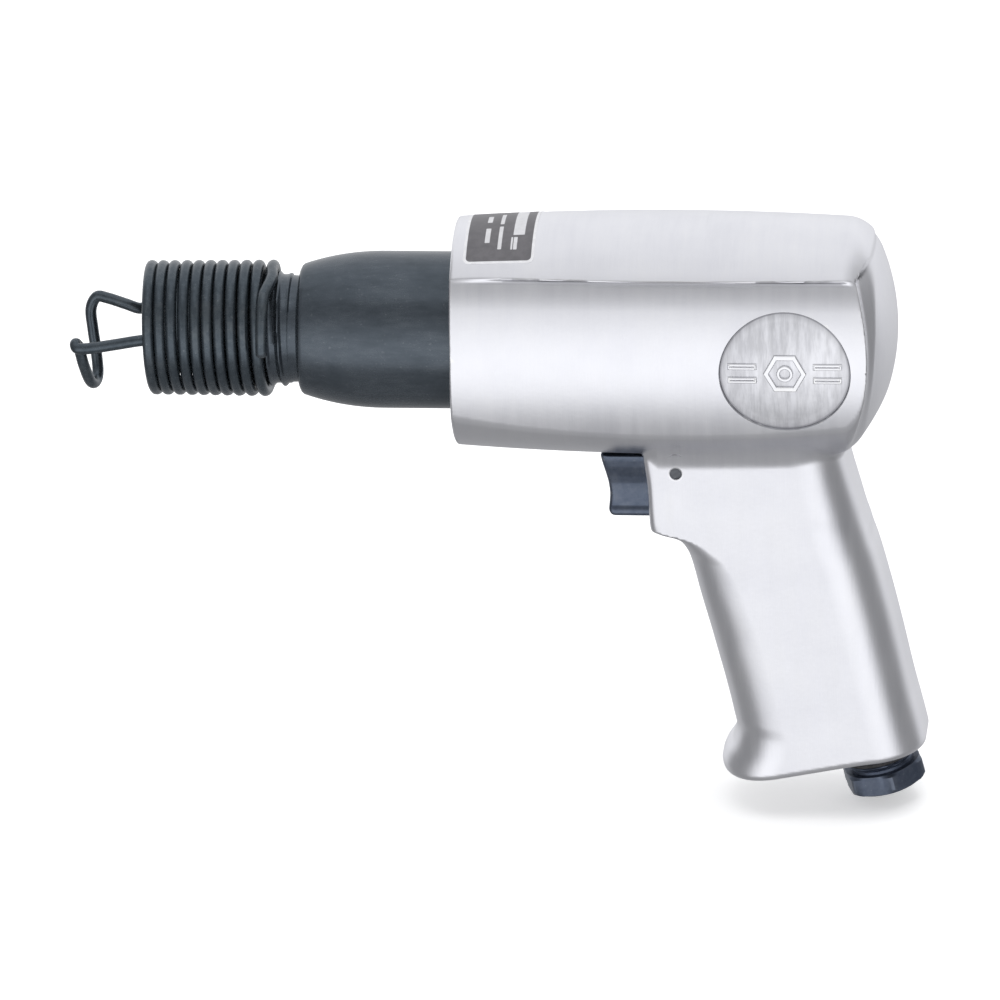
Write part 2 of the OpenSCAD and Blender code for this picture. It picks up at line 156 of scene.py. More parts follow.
def surface(f, lo, hi, h, relax=3):
    """Quad mesh of the zero surface of f(x, y, z), with every point drawn onto the surface."""
    n = [int(math.ceil((b - a) / h)) + 1 for a, b in zip(lo, hi)]
    ax = [np.asarray(lo[i] + h * np.arange(n[i]), np.float32) for i in range(3)]
    v = np.empty(n, np.float32)
    for i0 in range(0, n[0], 16):
        x, y, z = np.meshgrid(ax[0][i0:i0 + 16], ax[1], ax[2], indexing="ij")
        v[i0:i0 + 16] = f(x, y, z)
    inside = v < 0
    c = tuple(m - 1 for m in n)
    total, count = np.zeros(c + (3,), np.float32), np.zeros(c, np.float32)
    corners = [(i, j, k) for i in (0, 1) for j in (0, 1) for k in (0, 1)]

    def part(arr, o):
        return arr[o[0]:o[0] + c[0], o[1]:o[1] + c[1], o[2]:o[2] + c[2]]

    for p in corners:
        for axis in range(3):
            if p[axis]:
                continue
            q = list(p)
            q[axis] = 1
            a, b = part(v, p), part(v, q)
            hit = part(inside, p) != part(inside, q)
            t = np.where(hit, a / np.where(hit, a - b, 1), 0)
            for k in range(3):
                total[..., k] += np.where(hit, p[k] + (t if k == axis else 0), 0)
            count += hit
    used = count > 0
    index = -np.ones(c, np.int64)
    index[used] = np.arange(used.sum())
    ijk = np.argwhere(used)
    pts = (ijk + total[used] / count[used][:, None]) * h + np.asarray(lo)
    quads = []
    for axis in range(3):
        u, w = (axis + 1) % 3, (axis + 2) % 3
        sl_a, sl_b = [slice(None)] * 3, [slice(None)] * 3
        sl_a[axis], sl_b[axis] = slice(0, -1), slice(1, None)
        cross = inside[tuple(sl_a)] != inside[tuple(sl_b)]
        e = np.argwhere(cross)
        e = e[(e[:, u] > 0) & (e[:, w] > 0) & (e[:, u] < c[u]) & (e[:, w] < c[w])]
        q = []
        for du, dw in ((-1, -1), (0, -1), (0, 0), (-1, 0)):
            s = e.copy()
            s[:, u] += du
            s[:, w] += dw
            q.append(index[s[:, 0], s[:, 1], s[:, 2]])
        q = np.stack(q, 1)
        flip = ~inside[e[:, 0], e[:, 1], e[:, 2]]
        q[flip] = q[flip][:, ::-1]
        quads.append(q)
    quads = np.concatenate(quads)
    pts = pts.astype(np.float64)
    edges = np.concatenate([quads[:, [0, 1]], quads[:, [1, 2]], quads[:, [2, 3]], quads[:, [3, 0]]])
    for step in range(relax + 1):
        if step:
            s = np.zeros_like(pts)
            for k in range(3):
                s[:, k] = np.bincount(edges[:, 0], pts[edges[:, 1], k], len(pts)) + np.bincount(
                    edges[:, 1], pts[edges[:, 0], k], len(pts))
            m = np.bincount(edges[:, 0], minlength=len(pts)) + np.bincount(edges[:, 1], minlength=len(pts))
            pts += 0.5 * (s / m[:, None] - pts)
        for _ in range(4):
            g = gradient(f, pts)
            pts -= np.clip(f(*pts.T) / np.maximum((g * g).sum(1), 0.15), -h, h)[:, None] * g
    return pts, quads


def gradient(f, p, d=0.02):
    x, y, z = p.T
    return np.stack([f(x + d, y, z) - f(x - d, y, z), f(x, y + d, z) - f(x, y - d, z),
                     f(x, y, z + d) - f(x, y, z - d)], 1) / (2 * d)


# ---------------------------------------------------------------- housing

# Side panels: half width, radius of their bow and height of its middle
HALF_W, SIDE_R, SIDE_Z = 25.9, 56.7, -4.8
CAP_Z, FRONT_X = 22.0, 65.4
# The body is turned: greatest radius, where it is, and twice the radius of its lengthwise bow
BODY_R, BODY_PEAK_X, BODY_BOW = 30.45, 121, 1600
# Ball of the rear end: centre along and up, radius
DOME = (123.4, 2.0, 52.0)
GRIP = np.array([  # height, front face, front corner radius, rear corner radius, rear face
    [-14, 111.6, 2.2, 10, 158.2], [-18, 111.7, 2.2, 10, 159.1], [-26.4, 112.1, 2.2, 11, 160.9],
    [-36.4, 113.1, 2.2, 12, 163.3], [-43.4, 113.3, 2.3, 12.5, 165.2], [-47.4, 113.6, 2.6, 13, 166.3],
    [-48.4, 115.2, 3.2, 13, 166.6], [-49.4, 118.2, 4.2, 13, 166.9], [-50.8, 120.2, 5.5, 13, 167.35],
    [-53.2, 121.5, 7.5, 13, 168.0], [-56.6, 122.5, 10.0, 13, 169.1], [-68, 124.8, 12.5, 13, 172.0],
    [-80, 127.6, 13.5, 13, 174.65], [-95, 131.1, 13.5, 13, 177.7], [-101, 132.3, 13.5, 13, 179.1],
    [-105, 132.9, 14, 13, 180.0], [-109, 132.1, 14, 13, 180.8], [-112.5, 129.8, 15, 13, 181.3],
    [-115, 129.0, 15, 13, 181.6], [-118, 130.2, 14, 13, 181.6], [-121, 133, 14, 13, 181.6]])


def hermite_table(col, n=800):
    """The stations as one smooth monotone curve, sampled finely."""
    x, y = GRIP[::-1, 0], GRIP[::-1, col]
    h, d = np.diff(x), np.diff(y) / np.diff(x)
    m = np.zeros(len(x))
    same = d[1:] * d[:-1] > 0
    w1, w2 = 2 * h[1:] + h[:-1], h[1:] + 2 * h[:-1]
    with np.errstate(divide="ignore", invalid="ignore"):
        m[1:-1] = np.where(same, (w1 + w2) / (w1 / d[:-1] + w2 / d[1:]), 0)
    m[0], m[-1] = d[0], d[-1]
    t = np.linspace(x[0], x[-1], n)
    i = np.clip(np.searchsorted(x, t) - 1, 0, len(h) - 1)
    s = (t - x[i]) / h[i]
    out = ((1 + 2 * s) * (1 - s) ** 2 * y[i] + s * (1 - s) ** 2 * h[i] * m[i]
           + s * s * (3 - 2 * s) * y[i + 1] + s * s * (s - 1) * h[i] * m[i + 1])
    return t, out


T_FRONT, T_FR, T_RR, T_REAR = [hermite_table(k) for k in (1, 2, 3, 4)]


def grip_f(x, y, z):
    front, fr, rr = np.interp(z, *T_FRONT), np.interp(z, *T_FR), np.interp(z, *T_RR)
    rear = np.interp(z, *T_REAR)
    mid, half = (front + rear) / 2, (rear - front) / 2
    r = np.where(x < mid, fr, rr)
    qx, qy = np.abs(x - mid) - half + r, np.abs(y) - 17.0 + r
    d = np.minimum(np.maximum(qx, qy), 0) + np.hypot(np.maximum(qx, 0), np.maximum(qy, 0)) - r
    d = d * 0.975
    a = math.radians(10.9)
    floor = (-113.1 - z) * math.cos(a) + (x - 157) * math.sin(a) - np.maximum(x - 160, 0) ** 2 * 0.0035
    return rmax(rmax(d, floor, 2.0), z + 16, 0.1)


def roll(z):
    """How far the side panel leans in below the cap's edge."""
    return np.maximum(z - 15, 0) ** 2 / 52


def side_f(y, z, inset=0.0):
    return np.hypot(np.abs(y) + SIDE_R - HALF_W, z - SIDE_Z) - SIDE_R + inset


def rev_f(x, y, z):
    r = BODY_R - (x - BODY_PEAK_X) ** 2 / BODY_BOW - np.maximum(x - 163, 0) ** 2 / 14
    return np.hypot(y, z) - r


# Rear end of the cap: height, and how far back it reaches there
REAR_EDGE = (np.array([15, 21.6, 24.6, 27.6, 32.0]), np.array([168.4, 166.5, 169.4, 171.2, 173.0]))


def body_f(x, y, z):
    rev, side = rev_f(x, y, z), side_f(y, z)
    core = rmax(rev, rmin(side + roll(z), CAP_Z - z, 1.4), 0.45)
    core = rmax(core, FRONT_X - x, 0.8)
    zz = np.clip(z, -30, 32)
    rear = 169.5 - 0.0082 * (zz - 3.0) ** 2
    rear = np.where(z > CAP_Z - 0.6, np.interp(z, *REAR_EDGE), rear)
    ball = np.sqrt((x - DOME[0]) ** 2 + y * y + (z - DOME[1]) ** 2) - DOME[2]
    rim = np.where(x > 140, ball - 0.6 - 0.4 * np.maximum(21 - z, 0), -9.0)
    core = rmax(core, np.maximum((x - rear) * 0.95, rim), 0.5)
    section = rmax(rev + 0.35, side + 1.6, 7.0)
    dome = rmax(ball, section, 1.5)
    dome = rmax(dome, (x - 164.4) * 0.75 - (z + 26.3) * 0.66, 2.5)
    dome = rmax(dome, 130 - x, 0.2)
    return rmin(core, dome, 1.8)


def housing_f(x, y, z):
    return rmin(body_f(x, y, z), grip_f(x, y, z), np.interp(x, [112, 116, 150, 163], [1.0, 4.2, 4.2, 1.8]))


def side_y(z, inset=0.0):
    """Half width of the side panel at a height."""
    return math.sqrt(max((SIDE_R - inset) ** 2 - (z - SIDE_Z) ** 2, 0)) - (SIDE_R - HALF_W)


# Round badge: centre along and up, and its height over its width
BADGE = (149.0, -0.2, 0.936)


def badge_cutter(side, depth=0.8):
    """A disc that leaves a shallow round recess whose floor follows the panel."""
    rings = [(5.0, depth), (10.0, depth), (13.5, depth), (15.6, depth), (16.15, depth - 0.08),
             (16.3, depth - 0.3), (16.45, 0.0), (16.7, -0.25)]
    verts, faces, n = [], [], 96
    for r, d in rings:
        for k in range(n):
            a = 2 * math.pi * k / n
            x, z = BADGE[0] + r * math.cos(a), BADGE[1] + BADGE[2] * r * math.sin(a)
            verts.append((x, side * side_y(z, d), z))
    m = len(rings)
    for k in range(n):
        a = 2 * math.pi * k / n
        verts.append((BADGE[0] + 16.7 * math.cos(a), side * 40, BADGE[1] + BADGE[2] * 16.7 * math.sin(a)))
    centre, outer = len(verts), len(verts) + 1
    verts += [(BADGE[0], side * side_y(BADGE[1], depth), BADGE[1]), (BADGE[0], side * 40, BADGE[1])]
    for k in range(n):
        k2 = (k + 1) % n
        faces.append((centre, k, k2))
        for i in range(m):
            faces.append((i * n + k, (i + 1) * n + k, (i + 1) * n + k2, i * n + k2))
        faces.append((m * n + k, outer, m * n + k2))
    return make("cut", verts, faces)


def box_cutter(lo, hi):
    v = [(x, y, z) for x in (lo[0], hi[0]) for y in (lo[1], hi[1]) for z in (lo[2], hi[2])]
    f = [(0, 1, 3, 2), (4, 6, 7, 5), (0, 4, 5, 1), (2, 3, 7, 6), (0, 2, 6, 4), (1, 5, 7, 3)]
    return make("cut", v, f)


def lathe_cutter(profile, place, sides=96):
    return make("cut", *lathe(profile, place, sides))


THROTTLE_Z = -38.5


def build_housing():
    pts, quads = surface(housing_f, (63.1, -29.3, -121.3), (182.5, 29.3, 32.3), 0.6)
    ob = make("housing_casting", pts, quads.tolist())
    hub = along_x()
    thr = along_x(THROTTLE_Z)
    slant = math.atan2(152 - 138.5, -6 - THROTTLE_Z)

    def passage(s, a, b):
        return (138.5 + s * math.sin(slant) + a * math.cos(slant), b,
                THROTTLE_Z + s * math.cos(slant) - a * math.sin(slant))

    cut(ob, [
        # exhaust chamber, tail bore, valve pocket and air room
        lathe_cutter([(60, 25.4), (65.6, 25.4), (66.4, 24.5), (104, 24.5), (104, 17.95), (126, 17.95),
                      (126, 15.95), (143.6, 15.95), (143.6, 11), (157, 11)], hub, 128),
        # trigger pocket, throttle bore, passage, inlet bore, air channel, pin hole and the mark above it
        box_cutter((95, -9.8, -46.7), (130, 9.8, -29.6)),
        lathe_cutter([(129.9, 7.05), (145, 7.05), (145, 5.6), (158, 5.6)], thr, 64),
        lathe_cutter([(0, 3.5), (35, 3.5)], passage, 48),
        lathe_cutter([(-24, 6.5), (-20, 6.5), (-20, 8.35), (20, 8.35)], on_inlet, 64),
        lathe_cutter([(-80, 4.2), (-20.5, 4.2)], on_inlet, 48),
        lathe_cutter([(-20, 2.2), (-17.05, 1.98), (-16.75, 1.52), (16.75, 1.52), (17.05, 1.98), (20, 2.2)],
                     lambda s, a, b: (120.4 + a, s, -31.4 + b), 48),
        lathe_cutter([(18.3, 1.7), (26, 1.7)], lambda s, a, b: (120.6 + a, -s, -26.7 + b), 32),
        badge_cutter(-1), badge_cutter(1)])
    normals_from(ob, housing_f)
    return ob


def normals_from(ob, f):
    """Gives the cast surface the exact normals of f; cut faces keep their own."""
    me = ob.data
    shade(ob, 30)
    nv, nl = len(me.vertices), len(me.loops)
    co = np.zeros(nv * 3)
    me.vertices.foreach_get("co", co)
    co = co.reshape(-1, 3) / MM
    on = np.abs(f(*co.T)) < 0.03
    g = np.zeros_like(co)
    g[on] = gradient(f, co[on], 0.05)
    g /= np.maximum(np.linalg.norm(g, axis=1), 1e-9)[:, None]
    loop_v = np.zeros(nl, np.int32)
    me.loops.foreach_get("vertex_index", loop_v)
    cn = np.zeros(nl * 3, np.float32)
    me.corner_normals.foreach_get("vector", cn)
    cn = cn.reshape(-1, 3)
    use = on[loop_v] & ((g[loop_v] * cn).sum(1) > 0.8)
    cn[use] = g[loop_v][use]
    me.normals_split_custom_set(cn.tolist())


housing = build_housing()
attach(housing, "frame")
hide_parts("housing")
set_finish(housing, "cast_aluminium")

# ---------------------------------------------------------------- emblem on the badge and name plate


def on_panel(side, u, w, lift):
    """A point of the badge: u along the housing, w up, lift above the recess floor."""
    z = BADGE[1] + w
    return (BADGE[0] + u, side * (side_y(z, 0.8 - lift)), z)


def ring_patch(outer, inner, side, lift=0.62, bevel=0.2):
    """A raised band between two outlines with the same number of points."""
    n = len(outer)
    o, i = np.array(outer, float), np.array(inner, float)
    across = (i - o) / np.linalg.norm(i - o, axis=1)[:, None]
    rows = [[on_panel(side, *p, -0.1) for p in o], [on_panel(side, *p, lift - bevel) for p in o],
            [on_panel(side, *p, lift) for p in o + across * bevel],
            [on_panel(side, *p, lift) for p in i - across * bevel],
            [on_panel(side, *p, lift - bevel) for p in i], [on_panel(side, *p, -0.1) for p in i]]
    verts = [p for r in rows for p in r]
    faces = []
    for r in range(5):
        for k in range(n):
            k2 = (k + 1) % n
            faces.append((r * n + k, r * n + k2, (r + 1) * n + k2, (r + 1) * n + k))
    return verts, faces


def polygon_ring(r, sides, per_side=6):
    """Outline of a regular polygon with per_side points along each side."""
    pts = []
    for s in range(sides):
        a, b = [2 * math.pi * (s + q) / sides for q in (0, 1)]
        for t in range(per_side):
            f = t / per_side
            pts.append((r * (math.cos(a) * (1 - f) + math.cos(b) * f),
                        r * (math.sin(a) * (1 - f) + math.sin(b) * f)))
    return pts


def bar(u0, u1, w0, w1, n=8):
    """Outline of a straight bar, with points along its length so that it follows the bowed floor."""
    pts = [(u0 + (u1 - u0) * i / n, w0) for i in range(n)]
    pts += [(u1, w0 + (w1 - w0) * i / n) for i in range(n)]
    pts += [(u1 - (u1 - u0) * i / n, w1) for i in range(n)]
    pts += [(u0, w1 - (w1 - w0) * i / n) for i in range(n)]
    return pts


def band(outline, width):
    """The same outline moved inwards by width."""
    p = np.array(outline, float)
    nxt, prv = np.roll(p, -1, 0), np.roll(p, 1, 0)
    a, b = p - prv, nxt - p
    a /= np.maximum(np.linalg.norm(a, axis=1), 1e-9)[:, None]
    b /= np.maximum(np.linalg.norm(b, axis=1), 1e-9)[:, None]
    na, nb = np.stack([-a[:, 1], a[:, 0]], 1), np.stack([-b[:, 1], b[:, 0]], 1)
    m = na + nb
    m /= (m * na).sum(1)[:, None]
    return p + m * width


emblems = []
for side, tag in ((-1, "near"), (1, "far")):
    verts, faces = [], []

    def add(v, f):
        base = len(verts)
        verts.extend(v)
        faces.extend([tuple(base + i for i in q) for q in f])

    hexagon = polygon_ring(5.4, 6)
    add(*ring_patch(hexagon, band(hexagon, 1.25), side))
    circle = [(2.1 * math.cos(2 * math.pi * k / 36), 2.1 * math.sin(2 * math.pi * k / 36)) for k in range(36)]
    add(*ring_patch(circle, band(circle, 0.9), side))
    for u0, u1 in ((-14.2, -7.0), (7.0, 14.2)):
        for w0, w1 in ((1.0, 2.5), (-2.5, -1.0)):
            outline = bar(u0, u1, w0, w1)
            add(*ring_patch(outline, band(outline, 0.7), side))
    emblem = make("badge_emblem_" + tag, verts, faces, 30)
    recalc(emblem)
    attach(emblem, "frame")
    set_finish(emblem, "cast_aluminium")
    emblems.append(emblem)


def rev_r(x):
    return BODY_R - (x - BODY_PEAK_X) ** 2 / BODY_BOW


# Name plate: ends along the housing, half its arc, corner radius, the middle and the radius it is bent to
PLATE_X0, PLATE_X1, PLATE_HALF, PLATE_CORNER = 68.6, 86.4, 16.4, 1.6
PLATE_MID_X, PLATE_BEND_R = 77.5, 29.2


def build_plate():
    """Thin printed plate with rounded corners, bent over the top of the housing."""
    x0, x1, half, r = PLATE_X0, PLATE_X1, PLATE_HALF, PLATE_CORNER
    xs, ss = np.linspace(x0, x1, 35), np.linspace(-half, half, 65)
    verts, index, faces = [], {}, []

    def clamp(x, s):
        cx, cs = min(max(x, x0 + r), x1 - r), min(max(s, -half + r), half - r)
        dx, ds = x - cx, s - cs
        m = math.hypot(dx, ds)
        return (cx + dx * r / m, cs + ds * r / m) if m > r and dx and ds else (x, s)

    def place(x, s, lift):
        R = rev_r(x) + lift
        a = s / PLATE_BEND_R
        return (x, R * math.sin(a), R * math.cos(a))

    for i, x in enumerate(xs):
        for j, s in enumerate(ss):
            px, ps = clamp(x, s)
            index[i, j] = len(verts)
            verts.append(place(px, ps, 0.07))
    for i in range(len(xs) - 1):
        for j in range(len(ss) - 1):
            faces.append((index[i, j], index[i, j + 1], index[i + 1, j + 1], index[i + 1, j]))
    rim = [(i, 0) for i in range(len(xs))] + [(len(xs) - 1, j) for j in range(1, len(ss))] \
        + [(i, len(ss) - 1) for i in range(len(xs) - 2, -1, -1)] + [(0, j) for j in range(len(ss) - 2, 0, -1)]
    low = []
    for i, j in rim:
        px, ps = clamp(xs[i], ss[j])
        low.append(len(verts))
        verts.append(place(px, ps, -0.25))
    for k in range(len(rim)):
        k2 = (k + 1) % len(rim)
        faces.append((index[rim[k]], index[rim[k2]], low[k2], low[k]))
    faces.append(tuple(low))
    ob = make("name_plate_foil", verts, faces, 40)
    recalc(ob)
    uv = ob.data.attributes.new("plate", "FLOAT_VECTOR", "POINT")
    co = np.array([v.co for v in ob.data.vertices]) / MM
    s = np.arctan2(co[:, 1], co[:, 2]) * PLATE_BEND_R
    on_plate = np.stack([co[:, 0] - PLATE_MID_X, s, np.zeros(len(co))], 1)
    uv.data.foreach_set("vector", on_plate.astype(np.float32).ravel())
    return ob


plate = build_plate()
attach(plate, "frame")
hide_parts("name_plate")
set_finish(plate, "name_plate")

# ---------------------------------------------------------------- barrel


# Barrel: shank bore, piston chamber, nose, shoulder, body and tail radii
BORE_R, CHAMBER_R, NOSE_R, SHOULDER_R, BARREL_R, TAIL_R = 5.15, 9.52, 13.6, 16.4, 19.65, 17.9


def barrel_profile():
    p = [(30, BORE_R), (0.6, BORE_R), (0, 5.75), (0, 12.7), (0.4, 13.3), (1.0, NOSE_R)]
    p += [(1.0 + 0.25 * i, NOSE_R) for i in range(1, 91)]
    p += [(23.7, NOSE_R), (24.1, 13.35), (25.4, 13.3), (25.9, 13.45), (26.05, 13.9), (26.15, 15.2),
          (26.5, 15.95), (27.0, SHOULDER_R)]
    for i in range(1, 25):
        t = i / 24
        x = 27.0 + 20.5 * t
        p.append((x, SHOULDER_R + (BARREL_R - SHOULDER_R) * (1 - (1 - t) ** 2.1)))
    p += [(60, BARREL_R), (75, BARREL_R), (102, BARREL_R), (102.5, 19.15), (102.5, TAIL_R), (125.5, TAIL_R),
          (126, 17.4), (126, CHAMBER_R), (30, CHAMBER_R)]
    return p


# Pitch of the nose's thread, and the angle at which the coil starts
THREAD_PITCH, COIL_START = 3.1, 61.0


def thread(s, a):
    """The helical ridge between the retainer's turns, running out towards the shoulder."""
    if s < 1.0 or s > 24.2:
        return 0.0
    turn = (s - (-12 + THREAD_PITCH * (math.degrees(a) - COIL_START) / 360)) / THREAD_PITCH
    ridge = 0.5 - 0.5 * math.cos(2 * math.pi * (turn % 1.0))
    fade = min(1.0, (s - 1.0) / 1.5) * min(1.0, max(0.0, (24.2 - s) / 1.6))
    return 0.85 * fade * ridge ** 2.5


verts, faces = lathe(barrel_profile(), along_x(), 128, closed=True, wave=thread)
barrel = make("barrel_turned", verts, faces, 32)
recalc(barrel)
port_cut = []
for a in (45, 135, 225, 315):
    t = math.radians(a)
    port_cut.append(lathe_cutter([(7, 2.5), (19.2, 2.5), (22, 2.9)], lambda s, u, v, t=t: (
        86 + u, s * math.cos(t) - v * math.sin(t), s * math.sin(t) + v * math.cos(t)), 32))
cut(barrel, port_cut)
shade(barrel, 32)
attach(barrel, "frame")
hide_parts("barrel")
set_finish(barrel, "black_steel")

# ---------------------------------------------------------------- retainer spring

# Free end inside the coil, hook, the loop around the shank and the way back to the first turn
FRONT_LOOP = [
    (-8, -10.9, 1.5), (-13.3, -10.8, 1), (-20, -10.8, -0.2), (-26, -10.6, -1.3), (-29.2, -10, -1.6),
    (-29.9, -8.5, -1), (-29.3, -7.3, -2.4), (-28.4, -5.9, -7.9), (-27.4, -2.8, -13.4), (-26.6, 0.8, -15.4),
    (-26.2, 4, -14), (-26.8, 6.6, -9.2), (-27.5, 7.8, -4), (-27.8, 8, 1.4), (-26.2, 8, 4.7),
    (-23.5, 7.8, 4.5), (-19, 7.5, 3.1), (-15.4, 7.7, 1.8), (-13.4, 9, 2.4), (-12.4, 10.6, 5.2),
    (-11.85, 10.4, 9.8), (-11.65, 7.481, 13.496)]


def catmull(p, steps):
    p = np.array(p, float)
    out = []
    for i in range(len(p) - 1):
        a, b, c, d = p[max(i - 1, 0)], p[i], p[i + 1], p[min(i + 2, len(p) - 1)]
        for s in range(steps):
            t = s / steps
            out.append(0.5 * (2 * b + (c - a) * t + (2 * a - 5 * b + 4 * c - d) * t * t
                              + (3 * b - a - 3 * c + d) * t ** 3))
    out.append(p[-1])
    return out


# Advance of each turn, after the uneven spacing of the turns in the photograph
ADVANCE = np.concatenate([[0], np.cumsum([2.84, 2.88, 3.1, 3.0, 2.95, 2.92, 3.0, 3.1, 3.1, 3.6, 3.1])])


COIL_X, COIL_R, WIRE_R = -11.65, 15.43, 1.44


def coil_path():
    a0, a1 = COIL_START, 90.0 + 3600
    steps = int((a1 - a0) / 360 * 44)
    path = catmull(FRONT_LOOP, 8)[:-1]
    for i in range(steps + 1):
        a = a0 + (a1 - a0) * i / steps
        t = (a - a0) / 360
        grow = max(0.0, t - 1.0) / 9.0
        r = COIL_R + 0.25 * grow
        ar = math.radians(a)
        path.append((COIL_X + float(np.interp(t, range(12), ADVANCE)), r * math.cos(ar),
                     r * math.sin(ar) + 0.1 * grow))
    x_end = path[-1][0]
    for i in range(1, 31):
        t = i / 30
        ar = math.radians(a1 + 88 * t)
        e = min(1.0, 1.6 * t)
        rr = 15.68 + 2.95 * e * e * (3 - 2 * e)
        x = x_end + 0.9 * math.sin(math.pi * min(1.0, 2.2 * t)) - 1.2 * (1 - (1 - t) ** 2)
        path.append((x, rr * math.cos(ar), rr * math.sin(ar) + 0.1))
    return np.array(path)


def tube(path, r, sides=18, end_bevel=0.45):
    """A wire along a path, carried without twist, with bevelled ends."""
    d = np.gradient(path, axis=0)
    d /= np.linalg.norm(d, axis=1)[:, None]
    u = np.cross(d[0], (0, 0, 1))
    u /= np.linalg.norm(u)
    verts, n = [], len(path)
    rows = []
    for i in range(n):
        u = u - d[i] * (u @ d[i])
        u /= np.linalg.norm(u)
        w = np.cross(d[i], u)
        rows.append((path[i], u.copy(), w, r))
    first, last = rows[0], rows[-1]
    rows.insert(0, (first[0] - d[0] * end_bevel, first[1], first[2], r - end_bevel))
    rows.append((last[0] + d[-1] * end_bevel, last[1], last[2], r - end_bevel))
    for c, a, b, rr in rows:
        for k in range(sides):
            t = 2 * math.pi * k / sides
            verts.append(c + rr * (a * math.cos(t) + b * math.sin(t)))
    m = len(rows)
    faces = [(i * sides + k, i * sides + (k + 1) % sides,
              (i + 1) * sides + (k + 1) % sides, (i + 1) * sides + k)
             for i in range(m - 1) for k in range(sides)]
    faces += [tuple(reversed(range(sides))), tuple((m - 1) * sides + k for k in range(sides))]
    return verts, faces


retainer = make("retainer_coil", *tube(coil_path(), WIRE_R), 50)
recalc(retainer)
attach(retainer, "retainer")
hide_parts("retainer_spring")
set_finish(retainer, "spring_steel")

# ---------------------------------------------------------------- trigger

# Trigger: height and how far back its front face lies, then height and half width
TRIG_X = (np.array([-46.4, -44.9, -44.1, -42.5, -40.6, -37.8, -34.4, -31.5, -29.9]),
          np.array([103.1, 102.6, 102.65, 102.85, 102.95, 102.65, 101.9, 101.2, 100.9]))
TRIG_W = (np.array([-47, -45.0, -44.4, -43.7, -41.8, -39.5, -37.6, -35.6, -33, -31, -29]),
          np.array([9.5, 9.5, 9.3, 8.7, 8.6, 8.45, 8.48, 8.75, 9.3, 9.5, 9.5]))


def smooth_table(tab, n=200, width=5):
    x = np.linspace(tab[0][0], tab[0][-1], n)
    y = np.interp(x, *tab)
    k = np.ones(width) / width
    for _ in range(3):
        y = np.convolve(np.pad(y, width // 2, "edge"), k, "valid")
    return x, y


T_X, T_W = smooth_table(TRIG_X, 200, 9), smooth_table(TRIG_W, 260, 7)


def trigger_f(x, y, z):
    w = np.interp(z, *T_W)
    fx = np.interp(z, *T_X)
    d = rmax(fx - x, np.abs(y) - w, 1.3)
    d = rmax(d, np.maximum(x - 125.0, z + 29.9), 0.25)
    d = rmax(d, -46.4 - z, 1.0)
    slot = np.maximum(np.maximum(np.abs(x - 118.05) - 3.95, -33.2 - z), np.abs(y) - 20)
    return np.maximum(d, -slot)


pts, quads = surface(trigger_f, (99.2, -10.6, -47.6), (126.2, 10.6, -28.7), 0.3, 2)
trigger = make("trigger_lever", pts, quads.tolist(), 50)
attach(trigger, "trigger")
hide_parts("trigger")
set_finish(trigger, "trigger_steel")

# ---------------------------------------------------------------- air inlet


def inlet_neck_wave(s, a):
    if s < -12 or s > -1.0:
        return 0.0
    turn = (s / 1.41 - a / (2 * math.pi)) % 1.0
    return 0.62 * (abs(turn - 0.5) * 2) ** 0.8 - 0.35


HEX_TURN, HEX_HALF_AF = math.radians(13), 9.5


def build_inlet():
    p = [(-9, 5.65), (-20, 4.2), (-20, 7.9), (-19.5, 8.3)]
    p += [(-19.5 + 0.16 * i, 8.3) for i in range(1, 117)]
    p += [(-0.7, 7.9), (-0.3, 7.9), (0.2, 8.1), (3.0, 8.1), (4.4, 6.2), (4.9, 5.65)]
    verts, faces = lathe(p, on_inlet, 96, closed=True, wave=inlet_neck_wave)
    neck = make("inlet_neck", verts, faces, 28)
    recalc(neck)
    # Hexagon: six flats cut by a chamfer cone above and below, with its bore
    n = 120
    verts, faces = [], []
    rows = [(0.0, 9.3), (0.0, None), (0.55, None), (4.0, None), (5.05, None), (5.4, None), (5.4, 6.5),
            (4.7, 5.9), (3.0, 5.9), (0.0, 5.9)]
    for s, r in rows:
        for k in range(n):
            a = 2 * math.pi * k / n
            b = (a - HEX_TURN) % (math.pi / 3) - math.pi / 6
            flat = HEX_HALF_AF / math.cos(b)
            flat = min(flat, HEX_HALF_AF + (flat - HEX_HALF_AF) * 0.93)
            if r is None:
                cone = {0.0: 9.6, 0.55: 10.6, 4.0: 11.2, 5.05: 10.0, 5.4: 9.2}[s]
                rr = min(flat, cone)
            else:
                rr = min(r, flat)
            verts.append(on_inlet(s, rr * math.cos(a), rr * math.sin(a)))
    m = len(rows)
    for j in range(m):
        for k in range(n):
            k2, j2 = (k + 1) % n, (j + 1) % m
            faces.append((j * n + k, j * n + k2, j2 * n + k2, j2 * n + k))
    hexagon = make("inlet_hexagon", verts, faces, 24)
    recalc(hexagon)
    return neck, hexagon


neck, hexagon = build_inlet()
for ob in (neck, hexagon):
    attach(ob, "frame")
    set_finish(ob, "inlet_steel")
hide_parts("inlet_bushing")

# ---------------------------------------------------------------- materials


def material(name):
    m = bpy.data.materials.new(name)
    m.use_nodes = True
    nt = m.node_tree
    bsdf = nt.nodes["Principled BSDF"]
    return m, nt, bsdf


def node(nt, kind, **inputs):
    n = nt.nodes.new(kind)
    for k, v in inputs.items():
        n.inputs[k.replace("_", " ")].default_value = v
    return n


def noise(nt, vector, scale, detail=3.0, rough=0.55):
    n = node(nt, "ShaderNodeTexNoise", Scale=scale, Detail=detail, Roughness=rough)
    nt.links.new(vector, n.inputs["Vector"])
    return n.outputs["Fac"]


